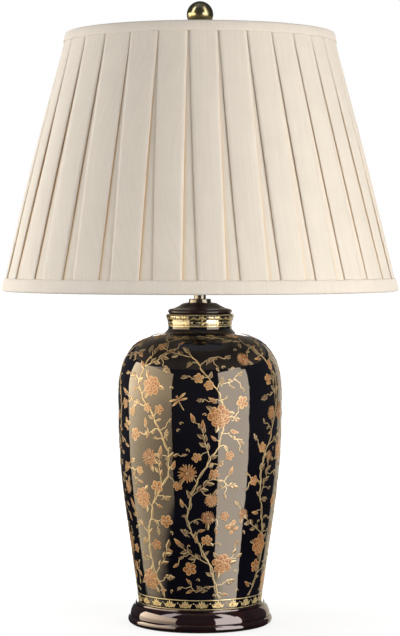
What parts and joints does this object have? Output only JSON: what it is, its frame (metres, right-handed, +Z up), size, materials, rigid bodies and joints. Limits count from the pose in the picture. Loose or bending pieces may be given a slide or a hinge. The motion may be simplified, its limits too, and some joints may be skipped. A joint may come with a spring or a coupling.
{
  "type": "ginger jar table lamp",
  "caption": "Table lamp with a tall shouldered ceramic jar on a turned wooden plinth, a wire harp with a bulb inside and a box-pleated empire shade held by a ball finial.",
  "frame": {"origin": "middle of the felt pad's underside, on the surface the lamp stands on", "axes": "+Z up the rod's axis; -Y is the front, where the knob points; the cord outlet looks along +Y"},
  "size_m": [0.4571, 0.4572, 0.7165],
  "materials": {
    "felt": "green wool felt",
    "plinth_wood": "near-black red mahogany stain under gloss lacquer",
    "cap_wood": "dark mahogany stain, satin lacquer",
    "jar_glaze": "blue-black gloss glaze with gold, copper and cream enamels",
    "cork": "cork sheet",
    "antique_brass": "antique brass, satin polish",
    "brass_hardware": "polished brass",
    "steel": "zinc-plated steel",
    "aluminium": "thin spun aluminium",
    "black_plastic": "black moulded plastic",
    "phenolic": "moulded phenolic",
    "card": "grey-brown insulating card",
    "frosted_glass": "frosted bulb glass",
    "shade_wire": "white-coated steel wire",
    "lining_fabric": "off-white laminated lining",
    "shade_fabric": "pleated cream silk",
    "trim_fabric": "cream silk bias binding"
  },
  "bodies": {
    "base": {"felt_pad": "felt", "plinth": "plinth_wood", "cord_bushing": "black_plastic", "base_washer": "steel", "lock_washer": "steel", "base_nut": "brass_hardware", "jar_gasket": "cork", "jar": "jar_glaze", "jar_cap": "cap_wood", "threaded_rod": "steel", "collar": "antique_brass", "neck_tube": "antique_brass", "harp_saddle": "brass_hardware", "harp_wire": "brass_hardware", "harp_seat": "brass_hardware", "holder_cap": "brass_hardware", "set_screw": "steel", "holder_shell": "brass_hardware", "holder_liner": "card", "holder_block": "phenolic", "terminal_screws": "brass_hardware", "screw_shell": "aluminium", "centre_contact": "brass_hardware"},
    "knob": {"knob_shaft": "steel", "knob_grip": "black_plastic"},
    "harp_sleeve_l": {"harp_sleeve_left": "brass_hardware"},
    "harp_sleeve_r": {"harp_sleeve_right": "brass_hardware"},
    "bulb": {"bulb_glass": "frosted_glass", "bulb_cap": "aluminium", "bulb_insulator": "black_plastic", "bulb_contact": "steel"},
    "shade": {"top_ring": "shade_wire", "bottom_ring": "shade_wire", "spider": "brass_hardware", "shade_struts": "shade_wire", "shade_lining": "lining_fabric", "pleated_cover": "shade_fabric", "top_trim": "trim_fabric", "bottom_trim": "trim_fabric"},
    "finial": {"finial_stem": "antique_brass", "finial_ball": "antique_brass"}
  },
  "joints": [
    {"name": "shade_turn", "type": "hinge", "parent": "base", "child": "shade", "pos_m": [0, 0, 0.671], "axis": [0, 0, 1], "continuous": true},
    {"name": "finial_turn", "type": "hinge", "parent": "base", "child": "finial", "pos_m": [0, 0, 0.672], "axis": [0, 0, 1], "continuous": true},
    {"name": "bulb_turn", "type": "hinge", "parent": "base", "child": "bulb", "pos_m": [0, 0, 0.4529], "axis": [0, 0, 1], "continuous": true},
    {"name": "knob_turn", "type": "hinge", "parent": "base", "child": "knob", "pos_m": [0, -0.025, 0.444], "axis": [0, -1, 0], "continuous": true},
    {"name": "sleeve_left_lift", "type": "slide", "parent": "base", "child": "harp_sleeve_l", "axis": [0, 0, 1], "range_m": [0, 0.016]},
    {"name": "sleeve_right_lift", "type": "slide", "parent": "base", "child": "harp_sleeve_r", "axis": [0, 0, 1], "range_m": [0, 0.016]}
  ]
}
